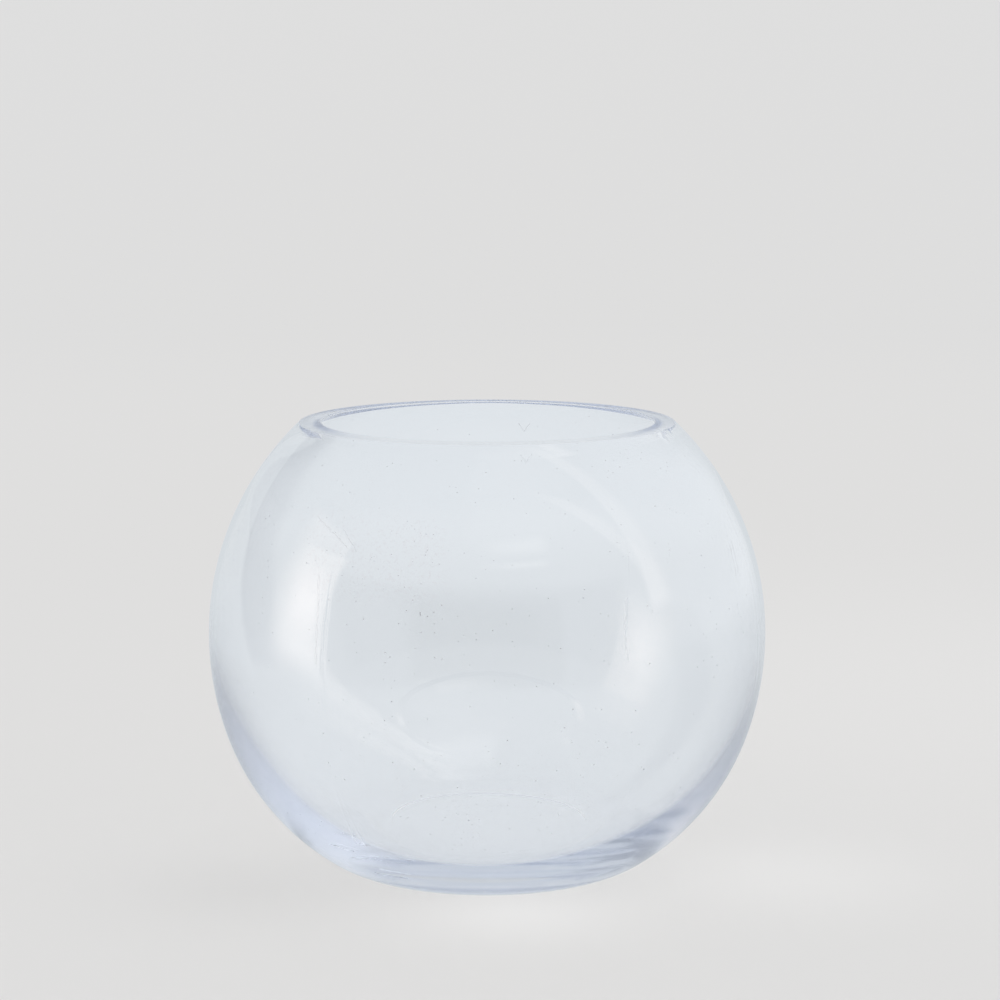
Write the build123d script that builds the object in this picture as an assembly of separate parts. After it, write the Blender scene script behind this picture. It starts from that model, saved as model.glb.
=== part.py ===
from build123d import *

import os

# Rose bowl vase: one body of clear blown glass, with a ground flat rim and a flat foot.
# Lengths are in millimetres. +Z is up, and the origin is the centre of the foot,
# which is the face that the vase stands on.

# Outside shape
height = 162.0
belly_radius = 100.0   # the widest circle
belly_height = 85.5    # its height above the foot
rim_radius = 67.0      # outer edge of the ground rim
foot_radius = 40.0     # outer edge of the flat foot
toe_reach = 20.27      # how far outside the foot's edge the toe's rounding starts
toe_rise = 6.25        # and how far above the foot
knee_drop = 34.5       # below the belly, where the side turns into the rounder heel
knee_inset = 5.7       # how far the side has drawn in at the knee

# Thickness of the glass: even over the shoulder, thicker at the rim and towards the foot
shoulder_wall = 1.8
rim_width = 7.5        # width of the ground face
rim_flare_drop = 20.0  # below the rim, where the wall starts to thicken
heel_wall = 7.0        # low on the heel, at the share of its arc given below
floor_thickness = 10.3

# Rounding of the ground rim's edges
rim_edge_radius = 0.5

heel_wall_share = 0.96
UP = (0, 1)
DOWN = (0, -1)


def outside_arcs():
    """The outline from the foot's edge up to the rim: toe, heel, side and shoulder, each tangent to the next."""
    belly = Vector(belly_radius, belly_height)
    knee = belly - Vector(knee_inset, knee_drop)
    toe_start = (foot_radius + toe_reach, toe_rise)
    side = TangentArc(belly, knee, tangent=DOWN)
    heel = TangentArc(knee, toe_start, tangent=side % 1)
    toe = TangentArc(toe_start, (foot_radius, 0), tangent=heel % 1)
    shoulder = TangentArc(belly, (rim_radius, height), tangent=UP)
    return toe, heel, side, shoulder


def cavity_arcs(heel, shoulder):
    """The inside from the rim down to the floor: flare, shoulder, side and corner, each tangent to the next."""
    belly = Vector(belly_radius - shoulder_wall, belly_height)

    # The inner shoulder shares its centre with the outer one up to the flare.
    flare_height = height - rim_flare_drop
    centre_radius = belly_radius - shoulder.radius
    inner_radius = shoulder.radius - shoulder_wall
    reach = (inner_radius**2 - (flare_height - belly_height) ** 2) ** 0.5
    inner_shoulder = TangentArc(belly, (centre_radius + reach, flare_height), tangent=UP)
    flare = TangentArc(inner_shoulder @ 1, (rim_radius - rim_width, height), tangent=inner_shoulder % 1)

    # The side ends one heel wall in from the outer heel.
    along = heel % heel_wall_share
    inward = Vector(along.Y, -along.X)
    turn = (heel @ heel_wall_share) + inward * heel_wall
    side = TangentArc(belly, turn, tangent=DOWN)

    # The corner leaves the side there and ends level with the floor.
    along = side % 1
    inward = Vector(along.Y, -along.X)
    corner_radius = (turn.Y - floor_thickness) / (1 - inward.Y)
    floor_edge = (turn.X + corner_radius * inward.X, floor_thickness)
    corner = TangentArc(turn, floor_edge, tangent=along)
    return flare, inner_shoulder, side, corner


def half_section():
    """The glass on one side of the axis, with the ground rim's edges rounded."""
    toe, heel, side, shoulder = outside_arcs()
    flare, inner_shoulder, inner_side, corner = cavity_arcs(heel, shoulder)
    foot = Line((0, 0), toe @ 1)
    rim = Line(shoulder @ 1, flare @ 1)
    floor = Line(corner @ 1, (0, floor_thickness))
    axis = Line((0, floor_thickness), (0, 0))
    outside = [foot, toe, heel, side, shoulder, rim]
    inside = [flare, inner_shoulder, inner_side, corner, floor, axis]
    section = make_face(outside + inside)
    rim_corners = section.vertices().group_by(Axis.Y)[-1]
    return fillet(rim_corners, rim_edge_radius)


def glass_bowl():
    """The half section turned about the vertical axis."""
    return revolve(Plane.XZ * half_section(), axis=Axis.Z)


os.makedirs("parts", exist_ok=True)
export_step(glass_bowl(), "parts/glass_bowl.step")
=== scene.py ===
import math

import bpy
import numpy as np
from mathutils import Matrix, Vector, noise


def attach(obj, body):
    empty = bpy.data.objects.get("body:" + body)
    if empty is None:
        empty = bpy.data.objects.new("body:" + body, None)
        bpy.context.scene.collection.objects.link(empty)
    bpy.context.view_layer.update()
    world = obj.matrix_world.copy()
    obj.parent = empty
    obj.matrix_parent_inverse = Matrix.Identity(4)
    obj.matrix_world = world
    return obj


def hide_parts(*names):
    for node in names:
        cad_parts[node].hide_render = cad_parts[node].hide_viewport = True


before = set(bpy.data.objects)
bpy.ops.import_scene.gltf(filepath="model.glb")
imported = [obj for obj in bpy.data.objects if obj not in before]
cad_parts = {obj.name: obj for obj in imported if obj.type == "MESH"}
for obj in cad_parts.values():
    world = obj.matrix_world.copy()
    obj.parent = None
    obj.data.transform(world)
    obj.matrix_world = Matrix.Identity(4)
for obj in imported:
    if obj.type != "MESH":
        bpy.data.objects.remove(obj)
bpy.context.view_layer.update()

# Rose bowl vase: one body of clear blown glass. Lengths are in metres, in the frame of the CAD model:
# +Z is up and the origin is the centre of the foot. Azimuths start at +X, so the front is at 270 degrees.
MM = 0.001

# Outside shape
HEIGHT = 162.0 * MM
BELLY_RADIUS = 100.0 * MM
BELLY_HEIGHT = 85.5 * MM
RIM_RADIUS = 67.0 * MM
FOOT_RADIUS = 40.0 * MM
TOE_RADIUS = 36.0 * MM
KNEE_DROP = 34.5 * MM
KNEE_INSET = 5.7 * MM

# Thickness of the glass
SHOULDER_WALL = 1.8 * MM
RIM_WIDTH = 7.5 * MM
# The ground ring is wider at the front than at the back: azimuth in degrees, width in mm
RIM_WIDTHS = (
    (0, 8.0), (40, 6.7), (60, 5.4), (90, 4.0), (118, 5.6), (140, 6.8), (180, 8.7), (270, 10.0), (360, 8.0),
)
# Where the flare starts, in angle up the shoulder, and how softly it sets in
FLARE_START = math.radians(35.5)
FLARE_KNEE = 0.25
# How far up the shoulder the flare starts at each azimuth, in degrees: it is gentle at the front and back
FLARE_STARTS = (
    (0, 36), (20, 38), (40, 38), (58, 34), (70, 29), (83, 23), (122, 22), (135, 26), (150, 31),
    (180, 33), (190, 31), (202, 24), (212, 20), (328, 20), (338, 24), (350, 32), (360, 36),
)
# Both tables are smoothed over this many degrees either way, with this many samples
TABLE_BLUR = 5.0
TABLE_BLUR_SAMPLES = 9
HEEL_WALL = 7.0 * MM
HEEL_WALL_SHARE = 0.96
FLOOR_THICKNESS = 10.3 * MM

# Rounding of the ground edges: points on each round, and how far clear of it the other points stay
RIM_OUTER_EDGE_RADIUS = 0.5 * MM
RIM_INNER_EDGE_RADIUS = 0.3 * MM
ROUND_POINTS = 6
ROUND_CLEARANCE = 1.02

# The mould's base plate leaves a shallow recess under the foot, with a soft step round it
RECESS_RADIUS = 36.8 * MM
RECESS_DEPTH = 0.22 * MM
RECESS_STEP = 1.2 * MM
RECESS_STEP_POINTS = 9
# Towards the front it is worn down to the share left. The wear eases off behind the azimuth whose sine is
# minus the value given, and towards the middle by the power given.
RECESS_LEFT = 0.12
RECESS_WEAR_EASE = 0.35
RECESS_WEAR_POWER = 0.5

# What the hand work of blowing leaves: the side wall is thinner towards +X, and the skin is a little uneven
SIDE_THINNING = 0.65 * MM
BULGE_POWER = 1.5
WAVE_INSIDE = 0.10 * MM
WAVE_OUTSIDE = 0.02 * MM
# Waves for each metre, how far they are stretched upright, and their share inside
BROAD_WAVES, BROAD_SQUASH, BROAD_SHARE = 16.0, 0.8, 0.7
FINE_WAVES, FINE_SQUASH, FINE_SHARE = 42.0, 0.6, 0.3
OUTER_WAVES = 20.0
WAVE_SHIFT = (7.3, 3.1, 5.7)
# The waves fade out over these heights above the foot and below the rim; inside, a share is left on the floor
CALM_FOOT, CALM_FOOT_FADE = 2 * MM, 20 * MM
CALM_RIM, CALM_RIM_FADE = 4 * MM, 25 * MM
CALM_FLOOR, CALM_FLOOR_FADE, CALM_FLOOR_SHARE = 30 * MM, 35 * MM, 0.12

# Fine ripples round the toe: their depth and number round and up, and where they fade
TOE_RIPPLE = 0.07 * MM
RIPPLES_ROUND = 2.2
RIPPLES_UP = 650
RIPPLE_FOOT_FADE = 1.5 * MM
RIPPLE_TOP, RIPPLE_TOP_FADE = 16 * MM, 8 * MM

# The two mould seams are clear between these heights and faint elsewhere, wander a little and are beaded
SEAM_HEIGHT = 0.17 * MM
SEAM_WIDTH = 0.70 * MM
SEAM_AZIMUTH = math.radians(236.5)
SEAM_LOW, SEAM_HIGH, SEAM_FADE = 72 * MM, 112 * MM, 6 * MM
SEAM_CLEAR_SHARE, SEAM_FAINT_SHARE = 0.9, 0.1
SEAM_INSIDE_SHARE = 0.5
SEAM_WANDERS, SEAM_WANDER_PART = 190, 3
SEAM_BEADS, SEAM_BEAD_MEAN, SEAM_BEAD_RANGE = 420, 0.75, 0.5
WANDER_NOISE_LINE, BEAD_NOISE_LINE = (0.0, 5.0), (9.0, 0.0)

# A nick in the outer edge of the rim
NICK_AZIMUTH = math.radians(339.5)
NICK_WIDTH = 3.4 * MM
NICK_REACH = 1.1 * MM
NICK_DEPTH = 0.9 * MM
RAGGED_WAVES, RAGGED_MEAN, RAGGED_RANGE = 900.0, 0.75, 0.5

# Small air bubbles. In the wall: how many, heights, radius as a share of the wall, and the largest radius
BUBBLE_DRAW = 11
WALL_SEEDS = 70
WALL_SEED_HEIGHTS = (22 * MM, 150 * MM)
WALL_SEED_SHARES = (0.06, 0.13)
WALL_SEED_LIMIT = 0.28 * MM
# In the floor: how many, heights as shares of its thickness, and radius in mm
FLOOR_SEEDS = 60
FLOOR_SEED_HEIGHTS = (0.25, 0.85)
FLOOR_SEED_RADII = (0.16, 0.38)
BUBBLE_SIDES = 8
BUBBLE_LEVELS = 5

# Resolution of the glass
COLUMNS = 322
ROW_STEP = 2.1 * MM
FINE_STEP = ROW_STEP / 2
FLARE_STEP = ROW_STEP * 0.7
FLAT_STEP = ROW_STEP * 2
# Closer columns over a seam or the nick, how wide they run in seam widths, and the gap to the even ones
CLOSE_COLUMNS = 10
SEAM_REACH = 1.6
COLUMN_CLEARANCE = 1.3

# Rows this near the top are the ground face, and rows up to this share of the recess are its ceiling
FACE_TOLERANCE = 0.001 * MM
RECESS_TOLERANCE = 1.01


def arc_from(start, end, tangent, step):
    """Points on the arc that leaves start along tangent and reaches end, and the direction it arrives in."""
    start, end = np.array(start, float), np.array(end, float)
    tangent = np.array(tangent, float) / np.hypot(*tangent)
    normal = np.array([-tangent[1], tangent[0]])
    chord = end - start
    radius = chord @ chord / (2 * (chord @ normal))
    centre = start + normal * radius
    turn = 2 * math.atan2(chord @ normal, chord @ tangent)
    count = max(2, math.ceil(abs(turn * radius) / step) + 1)
    angles = np.linspace(0, turn, count)
    spoke = start - centre
    cos, sin = np.cos(angles), np.sin(angles)
    points = centre + np.column_stack([cos * spoke[0] - sin * spoke[1], sin * spoke[0] + cos * spoke[1]])
    arrive = np.array([
        math.cos(turn) * tangent[0] - math.sin(turn) * tangent[1],
        math.sin(turn) * tangent[0] + math.cos(turn) * tangent[1],
    ])
    return points, arrive, centre, radius


def line_points(start, end, step):
    """Even points from start to end, about a step apart."""
    start, end = np.array(start, float), np.array(end, float)
    count = max(2, math.ceil(np.hypot(*(end - start)) / step) + 1)
    return start + np.linspace(0, 1, count)[:, None] * (end - start)


def rounded(before, after, radius):
    """Two runs of points that meet at a corner, cut back, with a round of that radius between them."""
    corner = before[-1]
    a = before[-2] - corner
    b = after[1] - corner
    a, b = a / np.hypot(*a), b / np.hypot(*b)
    half = math.acos(np.clip(a @ b, -1, 1)) / 2
    cut = radius / math.tan(half)
    before = before[np.hypot(*(before - corner).T) > cut * ROUND_CLEARANCE]
    after = after[np.hypot(*(after - corner).T) > cut * ROUND_CLEARANCE]
    centre = corner + (a + b) / np.hypot(*(a + b)) * radius / math.sin(half)
    p, q = corner + a * cut, corner + b * cut
    start = math.atan2(*(p - centre)[::-1])
    sweep = (math.atan2(*(q - centre)[::-1]) - start + math.pi) % (2 * math.pi) - math.pi
    angles = start + np.linspace(0, 1, ROUND_POINTS) * sweep
    rounding = centre + radius * np.column_stack([np.cos(angles), np.sin(angles)])
    return before, rounding, after


def flare_rise(angles, start, lip_angle):
    """How far the wall has thickened, from 0 at the shoulder to 1 at the lip, at angles up the shoulder."""
    share = np.clip((angles - start) / (lip_angle - start), 0, 1)
    return (np.hypot(share, FLARE_KNEE) - FLARE_KNEE) / (math.hypot(1, FLARE_KNEE) - FLARE_KNEE)


def outline():
    """The section of the glass, from the middle of the foot round to the middle of the cavity's floor."""
    up, down = (0, 1), (0, -1)
    belly = (BELLY_RADIUS, BELLY_HEIGHT)
    knee = (BELLY_RADIUS - KNEE_INSET, BELLY_HEIGHT - KNEE_DROP)
    side, along, _, _ = arc_from(belly, knee, down, ROW_STEP)

    # The heel and the toe are two arcs, tangent to the side, to each other and to the flat foot.
    inward = np.array([along[1], -along[0]])
    toe_centre = np.array([FOOT_RADIUS, TOE_RADIUS])
    off = np.array(knee) - toe_centre
    heel_radius = (TOE_RADIUS ** 2 - off @ off) / (2 * (off @ inward + TOE_RADIUS))
    way = toe_centre - (np.array(knee) + inward * heel_radius)
    meet = toe_centre + way / np.hypot(*way) * TOE_RADIUS
    heel, heel_along, heel_centre, _ = arc_from(knee, meet, along, ROW_STEP)
    toe, _, _, _ = arc_from(meet, (FOOT_RADIUS, 0), heel_along, FINE_STEP)
    shoulder, _, _, shoulder_radius = arc_from(belly, (RIM_RADIUS, HEIGHT), up, ROW_STEP)
    shoulder_radius = abs(shoulder_radius)

    # Inside the shoulder the wall is even up to the flare, where it thickens to the width of the rim.
    centre = np.array([BELLY_RADIUS - shoulder_radius, BELLY_HEIGHT])
    lip = np.array([RIM_RADIUS - RIM_WIDTH, HEIGHT]) - centre
    lip_wall = shoulder_radius - np.hypot(*lip)
    lip_angle = math.atan2(lip[1], lip[0])
    angles = np.linspace(0, lip_angle, math.ceil(lip_angle * shoulder_radius / FLARE_STEP))
    wall = SHOULDER_WALL + (lip_wall - SHOULDER_WALL) * flare_rise(angles, FLARE_START, lip_angle)
    reach = shoulder_radius - wall
    inner_shoulder = centre + reach[:, None] * np.column_stack([np.cos(angles), np.sin(angles)])
    inner_belly = (BELLY_RADIUS - SHOULDER_WALL, BELLY_HEIGHT)

    # The cavity turns in to the floor beside the point on the heel at the stated share of its arc.
    first, last = np.array(knee) - heel_centre, meet - heel_centre
    start, end = math.atan2(first[1], first[0]), math.atan2(last[1], last[0])
    angle = start + (end - start) * HEEL_WALL_SHARE
    turn_point = heel_centre + (heel_radius - HEEL_WALL) * np.array([math.cos(angle), math.sin(angle)])
    inner_side, inner_along, _, _ = arc_from(inner_belly, turn_point, down, ROW_STEP)
    inward = np.array([inner_along[1], -inner_along[0]])
    corner_radius = (turn_point[1] - FLOOR_THICKNESS) / (1 - inward[1])
    floor_edge = (turn_point[0] + corner_radius * inward[0], FLOOR_THICKNESS)
    corner, _, _, _ = arc_from(turn_point, floor_edge, inner_along, FINE_STEP)

    # The flat parts and the step of the recess join the arcs up.
    recess_edge = RECESS_RADIUS - RECESS_STEP / 2
    recess = line_points((0, RECESS_DEPTH), (recess_edge, RECESS_DEPTH), FLAT_STEP)
    share = np.linspace(0, 1, RECESS_STEP_POINTS)[1:]
    step_rise = RECESS_DEPTH * (1 + np.cos(math.pi * share)) / 2
    step = np.column_stack([recess_edge + share * RECESS_STEP, step_rise])
    foot = line_points((recess_edge + RECESS_STEP, 0), (FOOT_RADIUS, 0), ROW_STEP)
    rim = line_points((RIM_RADIUS, HEIGHT), (RIM_RADIUS - RIM_WIDTH, HEIGHT), FINE_STEP)
    floor = line_points(floor_edge, (0, FLOOR_THICKNESS), FLAT_STEP)

    shoulder, outer_round, rim = rounded(shoulder, rim, RIM_OUTER_EDGE_RADIUS)
    rim, inner_round, inner_shoulder = rounded(rim, inner_shoulder[::-1], RIM_INNER_EDGE_RADIUS)
    outside = [recess, step, foot[1:], toe[::-1][1:], heel[::-1][1:], side[::-1][1:], shoulder[1:]]
    inside = [inner_round, inner_shoulder, inner_side[1:], corner[1:], floor[1:]]
    return np.vstack(outside + [outer_round, rim]), np.vstack(inside), (centre, lip_angle, lip_wall)


def apart(turns, middle):
    """The angle from middle, between half a turn either way."""
    return (turns - middle + math.pi) % (2 * math.pi) - math.pi


def azimuths():
    """Even columns, with closer ones over the two mould seams and the nick."""
    columns = np.linspace(0, 2 * math.pi, COLUMNS, endpoint=False)
    for middle, half in (
        (SEAM_AZIMUTH, SEAM_WIDTH * SEAM_REACH / BELLY_RADIUS),
        (SEAM_AZIMUTH - math.pi, SEAM_WIDTH * SEAM_REACH / BELLY_RADIUS),
        (NICK_AZIMUTH, NICK_WIDTH / RIM_RADIUS),
    ):
        columns = columns[np.abs(apart(columns, middle)) > half * COLUMN_CLEARANCE]
        close = (middle + np.linspace(-half, half, CLOSE_COLUMNS)) % (2 * math.pi)
        columns = np.concatenate([columns, close])
    return np.sort(columns)


def around(table, turns):
    """The table's value at each azimuth, smoothed over a few degrees."""
    known, values = np.array(table).T
    near = np.degrees(turns)[:, None] + np.linspace(-TABLE_BLUR, TABLE_BLUR, TABLE_BLUR_SAMPLES)
    return np.interp(near % 360, known, values).mean(1)


def share_of(distance, reach):
    """The distance as a share of the reach, from 0 to 1."""
    return np.clip(distance / reach, 0, 1)


def waves(points, scale, seed):
    """Smooth noise from -1 to 1 at each point of a grid."""
    shift = Vector([seed * part for part in WAVE_SHIFT])
    values = [noise.noise(Vector(p) * scale + shift) for p in points.reshape(-1, 3)]
    return np.array(values).reshape(points.shape[:2])


def waves_up(level, scale, line):
    """Smooth noise from -1 to 1 at each level of an upright line."""
    return np.array([noise.noise(Vector((*line, z * scale))) for z in level])


def body_share(level):
    """How uneven the outside is at each level: even near the foot and the rim, most uneven over the body."""
    return share_of(level - CALM_FOOT, CALM_FOOT_FADE) * share_of(HEIGHT - CALM_RIM - level, CALM_RIM_FADE)


def uneven_skin(points, level, is_inside):
    """How far the waves of the blown surface push each point out of the glass."""
    inner_body = share_of(HEIGHT - CALM_RIM - level, CALM_RIM_FADE)
    inner_body *= CALM_FLOOR_SHARE + (1 - CALM_FLOOR_SHARE) * share_of(level - CALM_FLOOR, CALM_FLOOR_FADE)
    broad = waves(points * np.array([1, 1, BROAD_SQUASH]), BROAD_WAVES, 1)
    fine = waves(points * np.array([1, 1, FINE_SQUASH]), FINE_WAVES, 2)
    inner = (broad * BROAD_SHARE + fine * FINE_SHARE) * WAVE_INSIDE * inner_body[:, None]
    outer = (waves(points, OUTER_WAVES, 3) - 1) / 2 * WAVE_OUTSIDE * body_share(level)[:, None]
    return np.where(is_inside[:, None], inner, outer)


def toe_ripples(level, cos, sin):
    """How deep the fine ripples round the toe are at each point."""
    ring = list(zip(RIPPLES_ROUND * cos, RIPPLES_ROUND * sin))
    ripple = np.array([[noise.noise(Vector((x, y, z * RIPPLES_UP))) for x, y in ring] for z in level])
    toe = share_of(level, RIPPLE_FOOT_FADE) * share_of(RIPPLE_TOP - level, RIPPLE_TOP_FADE)
    return TOE_RIPPLE * (ripple + 1) / 2 * toe[:, None]


def rim_shape(profile, turns, is_inside, shoulder):
    """How far the flare pushes each point, and how much further in the ground ring reaches there."""
    centre, lip_angle, lip_wall = shoulder
    angles = np.arctan2(profile[:, 1] - centre[1], profile[:, 0] - centre[0])[:, None]
    starts = np.radians(around(FLARE_STARTS, turns))
    rise = flare_rise(angles, starts[None, :], lip_angle)
    gentle = rise - flare_rise(angles, FLARE_START, lip_angle)
    flared = is_inside[:, None] & (angles > 0)
    flare = np.where(flared & (angles < lip_angle), (lip_wall - SHOULDER_WALL) * gentle, 0)

    face = ~is_inside & (profile[:, 1] > HEIGHT - FACE_TOLERANCE)
    face_radii = profile[face, 0]
    share = np.zeros(rise.shape)
    share[face] = ((face_radii.max() - face_radii) / (face_radii.max() - RIM_RADIUS + RIM_WIDTH))[:, None]
    share = np.where(flared, rise, share)
    return flare, share * (around(RIM_WIDTHS, turns) * MM - RIM_WIDTH)[None, :]


def mould_seams(level, turns):
    """How proud the two mould seams stand at each point."""
    seam = np.zeros((len(level), len(turns)))
    wander = waves_up(level, SEAM_WANDERS, WANDER_NOISE_LINE) * SEAM_WIDTH / SEAM_WANDER_PART
    for middle in (SEAM_AZIMUTH, SEAM_AZIMUTH - math.pi):
        away = apart(turns, middle)[None, :] * BELLY_RADIUS - wander[:, None]
        seam += np.exp(-((away / (SEAM_WIDTH / 2)) ** 2))
    clear = share_of(level - SEAM_LOW, SEAM_FADE) * share_of(SEAM_HIGH - level, SEAM_FADE)
    clear *= SEAM_BEAD_MEAN + SEAM_BEAD_RANGE * waves_up(level, SEAM_BEADS, BEAD_NOISE_LINE)
    strength = clear * SEAM_CLEAR_SHARE + body_share(level) * SEAM_FAINT_SHARE
    return SEAM_HEIGHT * seam * strength[:, None]


def rim_nick(points, profile, turns):
    """How deep the nick in the rim's outer edge is at each point."""
    from_edge = np.hypot(profile[:, 0] - RIM_RADIUS, profile[:, 1] - HEIGHT) / NICK_REACH
    along = apart(turns, NICK_AZIMUTH) * RIM_RADIUS / (NICK_WIDTH / 2)
    ragged = RAGGED_MEAN + RAGGED_RANGE * waves(points, RAGGED_WAVES, 4)
    nick = np.exp(-(from_edge[:, None] ** 2)) * np.clip(1 - along[None, :] ** 2, 0, 1) * ragged
    return NICK_DEPTH * nick


def recess_left(profile, sin, is_inside):
    """The share of its height that each point under the foot keeps: the recess is worn away at the front."""
    under = np.clip(1 - profile[:, 0] / RECESS_RADIUS, 0, 1)[:, None] ** RECESS_WEAR_POWER
    worn = RECESS_LEFT + (1 - RECESS_LEFT) * np.clip(sin + RECESS_WEAR_EASE, 0, 1)
    kept_depth = under + (1 - under) * worn[None, :]
    low = profile[:, 1] < RECESS_DEPTH * RECESS_TOLERANCE
    recessed = low & (profile[:, 0] < FOOT_RADIUS) & ~is_inside
    return np.where(recessed[:, None], kept_depth, 1.0)


def seeds(outside, inside):
    """Centres and radii of the air bubbles: some halfway through the wall, some in the floor."""
    rng = np.random.default_rng(BUBBLE_DRAW)
    skin = outside[outside[:, 0] > FOOT_RADIUS]
    skin = skin[np.argsort(skin[:, 1])]
    lining = inside[np.argsort(inside[:, 1])]
    found = []
    for _ in range(WALL_SEEDS):
        z = rng.uniform(*WALL_SEED_HEIGHTS)
        turn = rng.uniform(0, 2 * math.pi)
        outer, inner = np.interp(z, skin[:, 1], skin[:, 0]), np.interp(z, lining[:, 1], lining[:, 0])
        thinned = SIDE_THINNING if z < BELLY_HEIGHT else 0.0
        middle = (outer + inner + thinned * math.cos(turn)) / 2
        radius = rng.uniform(*WALL_SEED_SHARES) * (outer - inner - thinned)
        place = (middle * math.cos(turn), middle * math.sin(turn), z)
        found.append((place, min(radius, WALL_SEED_LIMIT)))
    for _ in range(FLOOR_SEEDS):
        reach, turn = FOOT_RADIUS * math.sqrt(rng.uniform(0, 1)), rng.uniform(0, 2 * math.pi)
        z = rng.uniform(*FLOOR_SEED_HEIGHTS) * FLOOR_THICKNESS
        place = (reach * math.cos(turn), reach * math.sin(turn), z)
        found.append((place, rng.uniform(*FLOOR_SEED_RADII) * MM))
    return found


def add_bubble(verts, faces, middle, radius):
    """A small sphere whose faces look inward, as the glass round an air bubble does."""
    sides, levels = BUBBLE_SIDES, BUBBLE_LEVELS
    first = len(verts)
    x, y, z = middle
    verts.append((x, y, z - radius))
    for i in range(1, levels):
        tilt = math.pi * i / levels
        for k in range(sides):
            turn = 2 * math.pi * k / sides
            out = radius * math.sin(tilt)
            verts.append((x + out * math.cos(turn), y + out * math.sin(turn), z - radius * math.cos(tilt)))
    verts.append((x, y, z + radius))
    last = len(verts) - 1
    for k in range(sides):
        n = (k + 1) % sides
        faces.append((first, first + 1 + k, first + 1 + n))
        for i in range(levels - 2):
            a, b = first + 1 + i * sides + k, first + 1 + i * sides + n
            faces.append((a, a + sides, b + sides, b))
        faces.append((last - sides + k, last, last - sides + n))


def skin_faces(rows, width):
    """Faces over rings of points, closed by the middle of the foot, point 0, and of the floor, the last."""
    faces = [(0, 1 + (k + 1) % width, 1 + k) for k in range(width)]
    for i in range(rows - 1):
        for k in range(width):
            a, b = 1 + i * width + k, 1 + i * width + (k + 1) % width
            faces.append((a, b, b + width, a + width))
    last, top = 1 + (rows - 1) * width, 1 + rows * width
    faces += [(last + k, last + (k + 1) % width, top) for k in range(width)]
    return faces


def glass_mesh():
    """The glass: the outline turned about the axis, with what makes it uneven, and its air bubbles."""
    outside, inside, shoulder = outline()
    turns = azimuths()
    profile = np.vstack([outside[1:], inside[:-1]])
    is_inside = np.arange(len(profile)) >= len(outside) - 1
    lined = is_inside[:, None]

    tangent = np.gradient(profile, axis=0)
    normal = np.column_stack([tangent[:, 1], -tangent[:, 0]])
    normal /= np.hypot(*normal.T)[:, None]

    level = profile[:, 1]
    cos, sin = np.cos(turns), np.sin(turns)
    r = np.repeat(profile[:, :1], len(turns), 1)
    z = np.repeat(profile[:, 1:], len(turns), 1)
    points = np.stack([r * cos, r * sin, z], -1)
    upward = np.repeat(normal[:, 1:], len(turns), 1)
    directions = np.stack([normal[:, :1] * cos, normal[:, :1] * sin, upward], -1)

    # The side wall of the cavity comes out towards the skin on the +X side and goes in on the other.
    low = share_of(BELLY_HEIGHT - level, BELLY_HEIGHT - FLOOR_THICKNESS)
    bulge = np.sin(math.pi * low ** BULGE_POWER)
    thinner = SIDE_THINNING * bulge[:, None] * cos[None, :]

    # Each point is pushed out of the glass, or into it, along the normal of the outline.
    flare, wider = rim_shape(profile, turns, is_inside, shoulder)
    proud = mould_seams(level, turns)
    push = uneven_skin(points, level, is_inside)
    push -= np.where(lined, 0, toe_ripples(level, cos, sin))
    push -= np.where(lined, thinner, 0)
    push += flare
    push += np.where(lined, proud * SEAM_INSIDE_SHARE, proud)
    push -= np.where(lined, 0, rim_nick(points, profile, turns))
    points[..., 2] *= recess_left(profile, sin, is_inside)
    points += directions * push[:, :, None]
    points[..., :2] -= wider[..., None] * np.column_stack([cos, sin])

    # Nothing reaches outside the widest circle, the top and the foot.
    over = np.hypot(points[..., 0], points[..., 1]) / BELLY_RADIUS
    points[..., :2] /= np.maximum(over, 1)[..., None]
    points[..., 2] = np.clip(points[..., 2], 0, HEIGHT)

    verts = [(0.0, 0.0, RECESS_DEPTH)] + [tuple(p) for p in points.reshape(-1, 3)]
    verts.append((0.0, 0.0, FLOOR_THICKNESS))
    faces = skin_faces(len(profile), len(turns))
    for middle, radius in seeds(outside, inside):
        add_bubble(verts, faces, middle, radius)
    mesh = bpy.data.meshes.new("glass_bowl_visual")
    mesh.from_pydata(verts, [], faces)
    mesh.validate()
    mesh.shade_smooth()
    return mesh


# Materials

GLASS_IOR = 1.5
ABSORPTION_COLOR = (0.873, 0.895, 0.950, 1.0)
ABSORPTION_DENSITY = 10.0

# Roughness of the ground face, least and range, and what light from within the glass meets there
GROUND_FROM, GROUND_TO = HEIGHT - 0.25 * MM, HEIGHT - 0.05 * MM
GRIT = {"Scale": 900.0, "Detail": 2.0}
SATIN_LEAST, SATIN_RANGE, SATIN_WITHIN = 0.30, 0.10, 0.02

# Haze of the lower skin: its roughness, the heights over which it fades, and the share left at the foot
SKIN_HAZE = 0.20
HAZE_TOP = (80 * MM, 108 * MM)
HAZE_FOOT = (6 * MM, 48 * MM)
FOOT_HAZE_SHARE = 0.2

# Where the dried drops are: from, to and softness of each edge
DROPS_ACROSS = (-62 * MM, -12 * MM, 6 * MM, 8 * MM)
DROPS_UP = (112 * MM, 139 * MM, 5 * MM, 5 * MM)

# Specks: one cell in eleven has one, and more where the drops are; their sizes in cells, opacity and top
SPECK_CELLS = 420.0
SPECK_LOT, SPECK_LOT_DROPS = 0.91, -0.30
SPECK_LEAST, SPECK_RANGE = 0.065, 0.05
SPECK_OPACITY, SPECK_OPACITY_DROPS = 0.50, -0.15
SPECK_TOP = HEIGHT - 3 * MM

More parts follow.
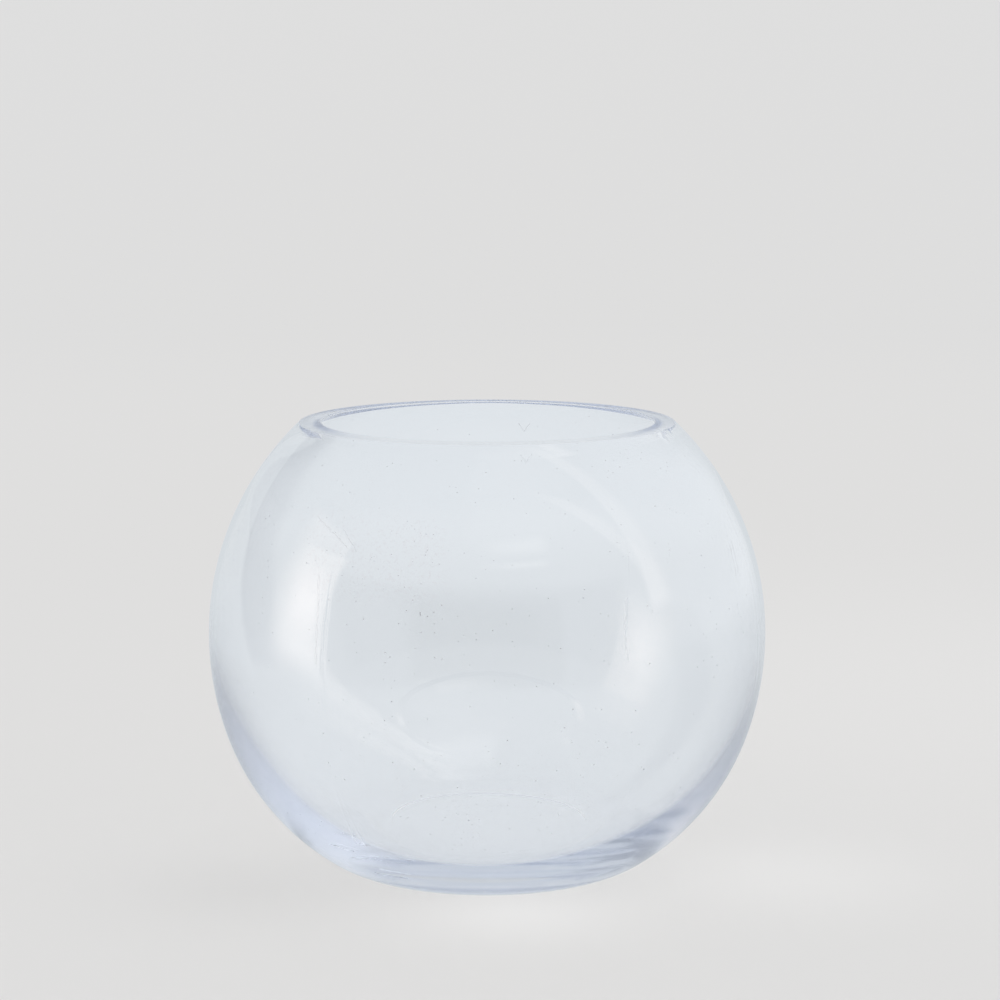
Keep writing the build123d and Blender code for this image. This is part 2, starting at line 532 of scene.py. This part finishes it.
# Stains of the dried drops, and fainter ones on the floor of the bowl
STAIN = {"Scale": 620.0, "Detail": 3.0, "Roughness": 0.7}
STAIN_EDGE = (0.56, 0.64)
STAIN_FLOOR = (11 * MM, 14 * MM)
STAIN_FLOOR_SHARE = 0.6

CLEAN_COLOR = (1.0, 1.0, 1.0, 1.0)
STAIN_COLOR = (0.962, 0.938, 0.940, 1.0)
DARK_COLOR = (0.16, 0.15, 0.15, 1.0)
# Colour of the pale lines, which are painted highlights
PAINTED_HIGHLIGHT_COLOR = (0.93, 0.95, 0.97, 1.0)

# Fine dark marks on the skin, and pale lines on it that are painted highlights: the bright line that a seam
# makes in the reflection off the back wall, painted on the front, and bright streaks at the foot. Columns:
# side of the vase, tone, x and z of both ends in mm, half width in mm
MARKS_AND_PAINTED_HIGHLIGHTS = (
    ("front", "dark", (-56.1, 136.5), (-46.2, 128.8), 0.24),
    ("front", "dark", (-47.3, 133.4), (-43.2, 128.0), 0.20),
    ("front", "dark", (84.3, 123.5), (86.2, 113.6), 0.20),
    ("back", "dark", (11.8, 152.4), (13.8, 149.0), 0.18),
    ("back", "dark", (13.8, 149.0), (16.0, 152.6), 0.18),
    ("front", "dark", (-55.8, 119.0), (-56.9, 90.0), 0.22),
    ("front", "pale", (46.5, 112.4), (45.8, 102.8), 0.30),
    ("front", "pale", (45.8, 102.8), (46.8, 92.8), 0.34),
    ("front", "pale", (-45.4, 18.4), (-37.2, 19.6), 0.38),
    ("front", "pale", (-36.9, 13.2), (-26.3, 12.6), 0.42),
    ("front", "pale", (-52.0, 22.5), (-44.0, 21.5), 0.30),
)
# How far a mark wanders from its line, by what noise, its core as a share of its width, and opacities
MARK_WANDER = 1.3 * MM
MARK_NOISE = {"Scale": 420.0, "Detail": 2.0}
MARK_CORE = 0.4
DARK_OPACITY, PAINTED_HIGHLIGHT_OPACITY = 0.13, 0.20


class Nodes:
    """Short calls for building one node tree."""

    def __init__(self, tree):
        self.tree = tree
        tree.nodes.clear()

    def add(self, kind, inputs=(), **settings):
        node = self.tree.nodes.new(kind)
        for name, value in settings.items():
            setattr(node, name, value)
        for name, value in dict(inputs).items():
            self.feed(node.inputs[name], value)
        return node

    def feed(self, socket, value):
        """A value is set on the socket, and another node's output is linked to it."""
        if isinstance(value, bpy.types.NodeSocket):
            self.tree.links.new(value, socket)
        else:
            socket.default_value = value

    def math(self, operation, a, b=0.0, c=0.0, clamp=False):
        node = self.add("ShaderNodeMath", {0: a, 1: b, 2: c}, operation=operation, use_clamp=clamp)
        return node.outputs[0]

    def ramp(self, value, low, high):
        """0 below low and 1 above high, with a smooth step between."""
        node = self.add(
            "ShaderNodeMapRange",
            {"Value": value, "From Min": low, "From Max": high, "To Min": 0.0, "To Max": 1.0},
            interpolation_type="SMOOTHSTEP",
        )
        return node.outputs["Result"]

    def band(self, value, low, high, soft_low, soft_high):
        """1 between low and high, falling to 0 over the given softness at each edge."""
        rise = self.ramp(value, low - soft_low, low + soft_low)
        fall = self.ramp(value, high - soft_high, high + soft_high)
        return self.math("MULTIPLY", rise, self.math("SUBTRACT", 1.0, fall))

    def vector(self, operation, inputs, output=0):
        node = self.add("ShaderNodeVectorMath", inputs, operation=operation)
        return node.outputs[output]

    def line_distance(self, place, start, end):
        """How far a place is from the line between two points, all with y = 0; the points are in mm."""
        start = Vector((start[0], 0.0, start[1])) * MM
        span = Vector((end[0], 0.0, end[1])) * MM - start
        away = self.vector("SUBTRACT", {0: place, 1: tuple(start)})
        along = self.vector("DOT_PRODUCT", {0: away, 1: tuple(span)}, "Value")
        share = self.math("DIVIDE", along, span.length_squared, clamp=True)
        foot = self.vector("SCALE", {0: tuple(span), "Scale": share})
        gap = self.vector("SUBTRACT", {0: away, 1: foot})
        return self.vector("LENGTH", {0: gap}, "Value")

    def mix(self, factor, a, b):
        node = self.add("ShaderNodeMix", data_type="RGBA")
        self.feed(node.inputs["Factor"], factor)
        self.feed(node.inputs[6], a)
        self.feed(node.inputs[7], b)
        return node.outputs[2]


def glass_roughness(n, place, level):
    """Satin on the ground face, and a haze on the lower skin for light that runs inside the glass."""
    ground = n.ramp(level, GROUND_FROM, GROUND_TO)
    grit = n.add("ShaderNodeTexNoise", {"Vector": place, **GRIT})
    outer = n.math("MULTIPLY_ADD", grit.outputs["Fac"], SATIN_RANGE, SATIN_LEAST)
    surface = n.add("ShaderNodeNewGeometry")
    within = surface.outputs["Backfacing"]
    satin = n.math("SUBTRACT", outer, n.math("MULTIPLY", within, n.math("SUBTRACT", outer, SATIN_WITHIN)))

    # The mould leaves the lower skin a little uneven, which blends the light inside the thick glass.
    spoke = n.vector("SUBTRACT", {0: place, 1: (0.0, 0.0, BELLY_HEIGHT)})
    facing = n.vector("DOT_PRODUCT", {0: surface.outputs["Normal"], 1: spoke}, "Value")
    skin = n.math("MULTIPLY", within, n.math("LESS_THAN", facing, 0.0))
    lower = n.math("SUBTRACT", 1.0, n.ramp(level, *HAZE_TOP))
    foot_up = n.ramp(level, *HAZE_FOOT)
    lower = n.math("MULTIPLY", lower, n.math("MULTIPLY_ADD", foot_up, 1 - FOOT_HAZE_SHARE, FOOT_HAZE_SHARE))
    haze = n.math("MULTIPLY", n.math("MULTIPLY", skin, lower), SKIN_HAZE)
    return n.math("MULTIPLY_ADD", ground, satin, haze)


def specks_and_stains(n, place, xyz, front):
    """How opaque the specks of dust are, and the tint of the dried drops on the front of the upper left."""
    level = xyz["Z"]
    left = n.band(xyz["X"], *DROPS_ACROSS)
    upper = n.band(level, *DROPS_UP)
    drops = n.math("MULTIPLY", n.math("MULTIPLY", left, front), upper)
    cells = n.add("ShaderNodeTexVoronoi", {"Vector": place, "Scale": SPECK_CELLS})
    lot = n.add("ShaderNodeSeparateXYZ", {"Vector": cells.outputs["Color"]})
    least = n.math("MULTIPLY_ADD", drops, SPECK_LOT_DROPS, SPECK_LOT)
    kept = n.math("GREATER_THAN", lot.outputs["X"], least)
    size = n.math("MULTIPLY_ADD", lot.outputs["Y"], SPECK_RANGE, SPECK_LEAST)
    dot = n.math("MULTIPLY", n.math("LESS_THAN", cells.outputs["Distance"], size), kept)
    body = n.math("LESS_THAN", level, SPECK_TOP)
    opacity = n.math("MULTIPLY_ADD", drops, SPECK_OPACITY_DROPS, SPECK_OPACITY)
    speck = n.math("MULTIPLY", n.math("MULTIPLY", dot, body), opacity)
    stain = n.add("ShaderNodeTexNoise", {"Vector": place, **STAIN})
    floor = n.math("SUBTRACT", 1.0, n.ramp(level, *STAIN_FLOOR))
    marked = n.math("MAXIMUM", drops, n.math("MULTIPLY", floor, STAIN_FLOOR_SHARE))
    mark = n.math("MULTIPLY", n.ramp(stain.outputs["Fac"], *STAIN_EDGE), marked)
    return speck, n.mix(mark, CLEAN_COLOR, STAIN_COLOR)


def marks_and_painted_highlights(n, place, front):
    """How opaque the fine dark marks are, and the pale lines that are painted highlights."""
    shake = n.add("ShaderNodeTexNoise", {"Vector": place, **MARK_NOISE}).outputs["Color"]
    shift = n.vector("MULTIPLY_ADD", {0: shake, 1: (MARK_WANDER,) * 3, 2: (-MARK_WANDER / 2,) * 3})
    moved = n.vector("ADD", {0: place, 1: shift})
    flat = n.vector("MULTIPLY", {0: moved, 1: (1.0, 0.0, 1.0)})
    # The pale lines are painted highlights; the dark ones are fine marks
    drawn = {"dark": 0.0, "pale": 0.0}
    for side, tone, start, end, half in MARKS_AND_PAINTED_HIGHLIGHTS:
        near = n.line_distance(flat, start, end)
        line = n.math("SUBTRACT", 1.0, n.ramp(near, half * MARK_CORE * MM, half * MM))
        here = front if side == "front" else n.math("SUBTRACT", 1.0, front)
        drawn[tone] = n.math("MAXIMUM", drawn[tone], n.math("MULTIPLY", line, here))
    dark = n.math("MULTIPLY", drawn["dark"], DARK_OPACITY)
    return dark, n.math("MULTIPLY", drawn["pale"], PAINTED_HIGHLIGHT_OPACITY)


def clear_glass():
    """Clear glass, faintly blue in its depth, with a haze, specks, stains and fine dark marks on its skin,
    and pale lines painted on it as highlights.
    """
    material = bpy.data.materials.new("blown_glass")
    material.use_nodes = True
    n = Nodes(material.node_tree)
    place = n.add("ShaderNodeTexCoord").outputs["Object"]
    xyz = n.add("ShaderNodeSeparateXYZ", {"Vector": place}).outputs
    front = n.math("LESS_THAN", xyz["Y"], 0.0)
    roughness = glass_roughness(n, place, xyz["Z"])
    speck, clean = specks_and_stains(n, place, xyz, front)
    dark, pale = marks_and_painted_highlights(n, place, front)
    speck = n.math("MAXIMUM", speck, dark)
    tint = n.mix(speck, clean, DARK_COLOR)
    # The pale lines paint highlights into the base colour and take away transmission there
    shader = n.add(
        "ShaderNodeBsdfPrincipled",
        {
            "Base Color": n.mix(pale, tint, PAINTED_HIGHLIGHT_COLOR),
            "Roughness": roughness,
            "IOR": GLASS_IOR,
            "Transmission Weight": n.math("SUBTRACT", 1.0, n.math("MAXIMUM", speck, pale)),
        },
    )
    inside = n.add("ShaderNodeVolumeAbsorption", {"Color": ABSORPTION_COLOR, "Density": ABSORPTION_DENSITY})
    n.add("ShaderNodeOutputMaterial", {"Surface": shader.outputs[0], "Volume": inside.outputs[0]})
    return material


# The stage: a floor disc that sweeps up into a ring wall, so that it looks the same from every side
STAGE_RADIUS = 2.6
STAGE_BEND = 0.5
STAGE_WALL_TOP = 1.1
STAGE_DROP = 0.15 * MM
STAGE_COLUMNS = 96
STAGE_RINGS = (0.02, 0.04, 0.08, 0.16, 0.4, 0.9, 1.5, STAGE_RADIUS - STAGE_BEND)
STAGE_BEND_ROWS = 16

# Seen straight by the camera the paper is a neutral grey. Seen through the glass, and in the light that it
# throws on the glass, it has the faint blue of the daylight in the room.
PAPER_NEUTRAL = (0.262, 0.260, 0.258)
PAPER_DAYLIGHT = (0.262, 0.275, 0.287)
PAPER_GLOW = 1.85

# The paper grows lighter far from the vase and up the wall: from, to and gain. Rays that don't come straight
# from the camera have a gain of their own.
PAPER_FAR, PAPER_FAR_GAIN = (0.3, 1.6), 0.02
PAPER_HIGH, PAPER_HIGH_GAIN = (0.0, 0.5), 0.03
PAPER_FAR_GAIN_UNSEEN = 0.08

# Painted light and shade on the floor, seen by the camera only: painted pools of light where the glass would
# gather light in front and to the right, a broad lighter patch further back on the right, and a painted
# shadow beside the foot on the left. Columns: x, y, reach, gain
PAINTED_FLOOR_LIGHT_AND_SHADE = (
    (0.010, -0.065, 0.036, 0.17),
    (0.105, -0.020, 0.050, 0.10),
    (0.220, 0.300, 0.300, 0.065),
    (-0.085, -0.035, 0.045, -0.07),
)

# Light has been reflected once, or has run round inside the glass, above these glossy depths, and it came by
# way of the back wall above this transmission depth.
REFLECTED_DEPTH = 0.5
GUIDED_DEPTH = 1.5
BACK_WALL_DEPTH = 2.5

# The room that the glass reflects: directions in degrees, azimuth 0 towards the camera and 90 towards +X
ROOM_DAYLIGHT = (0.672, 0.713, 0.746)
ROOM_BEHIND = (0.78, 0.81, 0.84)
WINDOW_PARALLAX = 8.0
# What light that has run round inside the glass finds in place of some patches
GUIDED_TONES = {
    "floor in front": (0.80, 0.82, 0.83),
    "ceiling light": (0.77, 0.81, 0.84),
    "strip seen in the back wall": (0.77, 0.81, 0.84),
    "lamp behind the camera": (0.77, 0.81, 0.84),
    "window": (0.98, 0.95, 0.92),
    "bright part of the window": (0.98, 0.95, 0.92),
}
# The ceiling light where it doesn't come by way of the back wall
CEILING_FROM_THE_FRONT = (1.0, 1.02, 1.04)
ROOM_PATCHES = (
    # name, lean, (azimuths, softness of each edge), (elevations, softness of each edge), share, light
    ("ceiling", 0.0, (-180, 180, 1, 1), (38, 95, 5, 1), 1.0, (0.77, 0.81, 0.84)),
    ("floor in front", 0.0, (-180, 180, 1, 1), (-95, -13, 1, 3), 1.0, (0.60, 0.63, 0.66)),
    ("ceiling light", 0.0, (-15, 80, 8, 8), (60, 80, 5, 5), 1.0, (1.85, 1.85, 1.85)),
    ("pale wall on the right", 0.0, (84, 150, 4, 12), (-4, 58, 4, 8), 1.0, (0.90, 0.94, 0.98)),
    ("room behind the camera", 0.0, (-68, 62, 1, 4), (-13, 24, 2, 3), 1.0, (0.40, 0.43, 0.46)),
    ("doorway behind the camera", 0.0, (-30, 31, 4, 2), (-11, 20, 3, 4), 1.0, (0.16, 0.18, 0.19)),
    ("wall left of the window", 1.1, (-123, -92, 1, 6), (-11, 34, 2, 4), 1.0, (0.36, 0.39, 0.44)),
    ("window", 0.0, (-96, -69, 8, 1), (-8, 33, 7, 2), 1.0, (1.75, 1.64, 1.56)),
    ("bright part of the window", 0.0, (-88, -74, 6, 4), (2, 19, 9, 9), 1.0, (2.85, 2.55, 2.40)),
    ("strip on the right", 0.0, (73, 83, 1.5, 4), (10, 74, 3, 6), 0.8, (1.75, 1.68, 1.64)),
    ("strip seen in the back wall", 0.4, (84, 97, 4, 6), (5, 72, 4, 6), 0.8, (2.20, 2.12, 2.06)),
    ("lamp behind the camera", 0.0, (4, 30, 14, 4), (39, 44, 2.5, 2.5), 0.6, (2.40, 2.35, 2.30)),
)
WORLD_WHITE = (1.0, 1.0, 1.0, 1.0)


def stage_mesh():
    """The floor disc, its bend and the ring wall."""
    rows = [(r, 0.0) for r in STAGE_RINGS]
    for k in range(1, STAGE_BEND_ROWS + 1):
        angle = k / STAGE_BEND_ROWS * math.pi / 2
        level = STAGE_BEND * (1 - math.cos(angle))
        rows.append((STAGE_RADIUS - STAGE_BEND + STAGE_BEND * math.sin(angle), level))
    rows.append((STAGE_RADIUS, STAGE_WALL_TOP))
    verts, faces = [(0.0, 0.0, -STAGE_DROP)], []
    for radius, level in rows:
        for k in range(STAGE_COLUMNS):
            turn = 2 * math.pi * k / STAGE_COLUMNS
            verts.append((radius * math.cos(turn), radius * math.sin(turn), level - STAGE_DROP))
    for k in range(STAGE_COLUMNS):
        faces.append((0, 1 + k, 1 + (k + 1) % STAGE_COLUMNS))
    for i in range(len(rows) - 1):
        for k in range(STAGE_COLUMNS):
            n = (k + 1) % STAGE_COLUMNS
            a, b = 1 + i * STAGE_COLUMNS + k, 1 + i * STAGE_COLUMNS + n
            faces.append((a, a + STAGE_COLUMNS, b + STAGE_COLUMNS, b))
    mesh = bpy.data.meshes.new("stage")
    mesh.from_pydata(verts, [], faces)
    mesh.shade_smooth()
    return mesh


def stage_material():
    """Plain pale paper, with painted pools of light and a painted shadow near the foot where the camera sees
    it. A reflection on the glass looks past it, into the soft light of the room.
    """
    material = bpy.data.materials.new("stage_paper")
    material.use_nodes = True
    n = Nodes(material.node_tree)
    path = n.add("ShaderNodeLightPath").outputs
    seen = path["Is Camera Ray"]
    color = n.mix(seen, (*PAPER_DAYLIGHT, 1.0), (*PAPER_NEUTRAL, 1.0))
    paper = n.add("ShaderNodeBsdfDiffuse", {"Color": color})
    place = n.add("ShaderNodeSeparateXYZ", {"Vector": n.add("ShaderNodeTexCoord").outputs["Object"]}).outputs
    squares = n.math("ADD", n.math("POWER", place["X"], 2.0), n.math("POWER", place["Y"], 2.0))
    far = n.ramp(n.math("SQRT", squares), *PAPER_FAR)
    high = n.ramp(place["Z"], *PAPER_HIGH)
    direct = n.math("MULTIPLY_ADD", far, PAPER_FAR_GAIN, n.math("MULTIPLY_ADD", high, PAPER_HIGH_GAIN, 1.0))
    # Painted pools of light and a painted shadow, added to the glow that the camera sees
    for x, y, reach, gain in PAINTED_FLOOR_LIGHT_AND_SHADE:
        dx = n.math("DIVIDE", n.math("SUBTRACT", place["X"], x), reach)
        dy = n.math("DIVIDE", n.math("SUBTRACT", place["Y"], y), reach)
        away = n.math("ADD", n.math("POWER", dx, 2.0), n.math("POWER", dy, 2.0))
        direct = n.math("MULTIPLY_ADD", n.math("EXPONENT", n.math("MULTIPLY", away, -1.0)), gain, direct)
    direct = n.math("MULTIPLY", direct, seen)
    unseen = n.math("MULTIPLY_ADD", far, PAPER_FAR_GAIN_UNSEEN, 1.0)
    unseen = n.math("MULTIPLY", unseen, n.math("SUBTRACT", 1.0, seen))
    lift = n.math("ADD", direct, unseen)
    glow = n.add("ShaderNodeEmission", {"Color": color, "Strength": n.math("MULTIPLY", lift, PAPER_GLOW)})
    both = n.add("ShaderNodeAddShader", {0: paper.outputs[0], 1: glow.outputs[0]})
    gone = n.add("ShaderNodeBsdfTransparent")
    reflected = n.math("GREATER_THAN", path["Glossy Depth"], REFLECTED_DEPTH)
    mixed = n.add("ShaderNodeMixShader", {0: reflected, 1: both.outputs[0], 2: gone.outputs[0]})
    n.add("ShaderNodeOutputMaterial", {"Surface": mixed.outputs[0]})
    return material


def world_light():
    """Even soft light, and for reflections a plain room with a window on the left."""
    world = bpy.data.worlds.new("soft_room")
    world.use_nodes = True
    n = Nodes(world.node_tree)
    way = n.add("ShaderNodeSeparateXYZ", {"Vector": n.add("ShaderNodeTexCoord").outputs["Generated"]})
    towards = n.math("MULTIPLY", way.outputs["Y"], -1.0)
    azimuth = n.math("DEGREES", n.math("ARCTAN2", way.outputs["X"], towards))
    elevation = n.math("DEGREES", n.math("ARCSINE", way.outputs["Z"]))
    path = n.add("ShaderNodeLightPath").outputs
    depth = path["Glossy Depth"]
    guided = n.math("GREATER_THAN", depth, GUIDED_DEPTH)

    # From the back wall the near window is seen a little further to the front than from the front wall.
    through = n.math("GREATER_THAN", path["Transmission Depth"], BACK_WALL_DEPTH)
    azimuth = n.math("MULTIPLY_ADD", through, -WINDOW_PARALLAX, azimuth)
    room = n.mix(through, (*ROOM_DAYLIGHT, 1.0), (*ROOM_BEHIND, 1.0))
    for name, lean, across, up, share, tone in ROOM_PATCHES:
        leaning = n.math("MULTIPLY_ADD", elevation, lean, azimuth)
        inside = n.math("MULTIPLY", n.band(leaning, *across), n.band(elevation, *up))
        tone = (*tone, 1.0)
        if name in GUIDED_TONES:
            tone = n.mix(guided, tone, (*GUIDED_TONES[name], 1.0))
        if name == "strip seen in the back wall":
            inside = n.math("MULTIPLY", inside, through)
        if name == "ceiling light":
            tone = n.mix(through, (*CEILING_FROM_THE_FRONT, 1.0), tone)
        room = n.mix(n.math("MULTIPLY", inside, share), room, tone)
    reflected = n.math("GREATER_THAN", depth, REFLECTED_DEPTH)
    light = n.add("ShaderNodeBackground", {"Color": n.mix(reflected, WORLD_WHITE, room), "Strength": 1.0})
    n.add("ShaderNodeOutputWorld", {"Surface": light.outputs[0]})
    bpy.context.scene.world = world


# Building the scene

glass = bpy.data.objects.new("glass_bowl_body", glass_mesh())
bpy.context.scene.collection.objects.link(glass)
glass.data.materials.append(clear_glass())
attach(glass, "root")
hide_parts("glass_bowl")

stage = bpy.data.objects.new("stage", stage_mesh())
bpy.context.scene.collection.objects.link(stage)
stage.data.materials.append(stage_material())

world_light()

# The camera stands 1.1 m in front of the vase and looks a little down on it, as the photograph was taken.
CAMERA_PLACE = (0.0046, -1.1, 0.2965)
CAMERA_PITCH = math.radians(8.43)
CAMERA_LENS = 111.65
CAMERA_SENSOR = 36.0
CAMERA_SEES_TO = 20.0

camera = bpy.data.objects.new("camera", bpy.data.cameras.new("camera"))
bpy.context.scene.collection.objects.link(camera)
camera.location = CAMERA_PLACE
camera.rotation_euler = (math.pi / 2 - CAMERA_PITCH, 0.0, 0.0)
camera.data.lens = CAMERA_LENS
camera.data.sensor_width = CAMERA_SENSOR
camera.data.clip_end = CAMERA_SEES_TO
bpy.context.scene.camera = camera

# Light crosses the glass and runs round in it many times before it leaves.
GLASS_BOUNCES = 96
PAPER_BOUNCES = 4
TRANSPARENT_BOUNCES = 16

scene = bpy.context.scene
scene.view_settings.view_transform = "Standard"
scene.cycles.max_bounces = GLASS_BOUNCES
scene.cycles.transmission_bounces = GLASS_BOUNCES
scene.cycles.glossy_bounces = GLASS_BOUNCES
scene.cycles.diffuse_bounces = PAPER_BOUNCES
scene.cycles.transparent_max_bounces = TRANSPARENT_BOUNCES
scene.cycles.caustics_reflective = True
scene.cycles.caustics_refractive = True
scene.cycles.blur_glossy = 0.0
scene.cycles.sample_clamp_indirect = 0.0
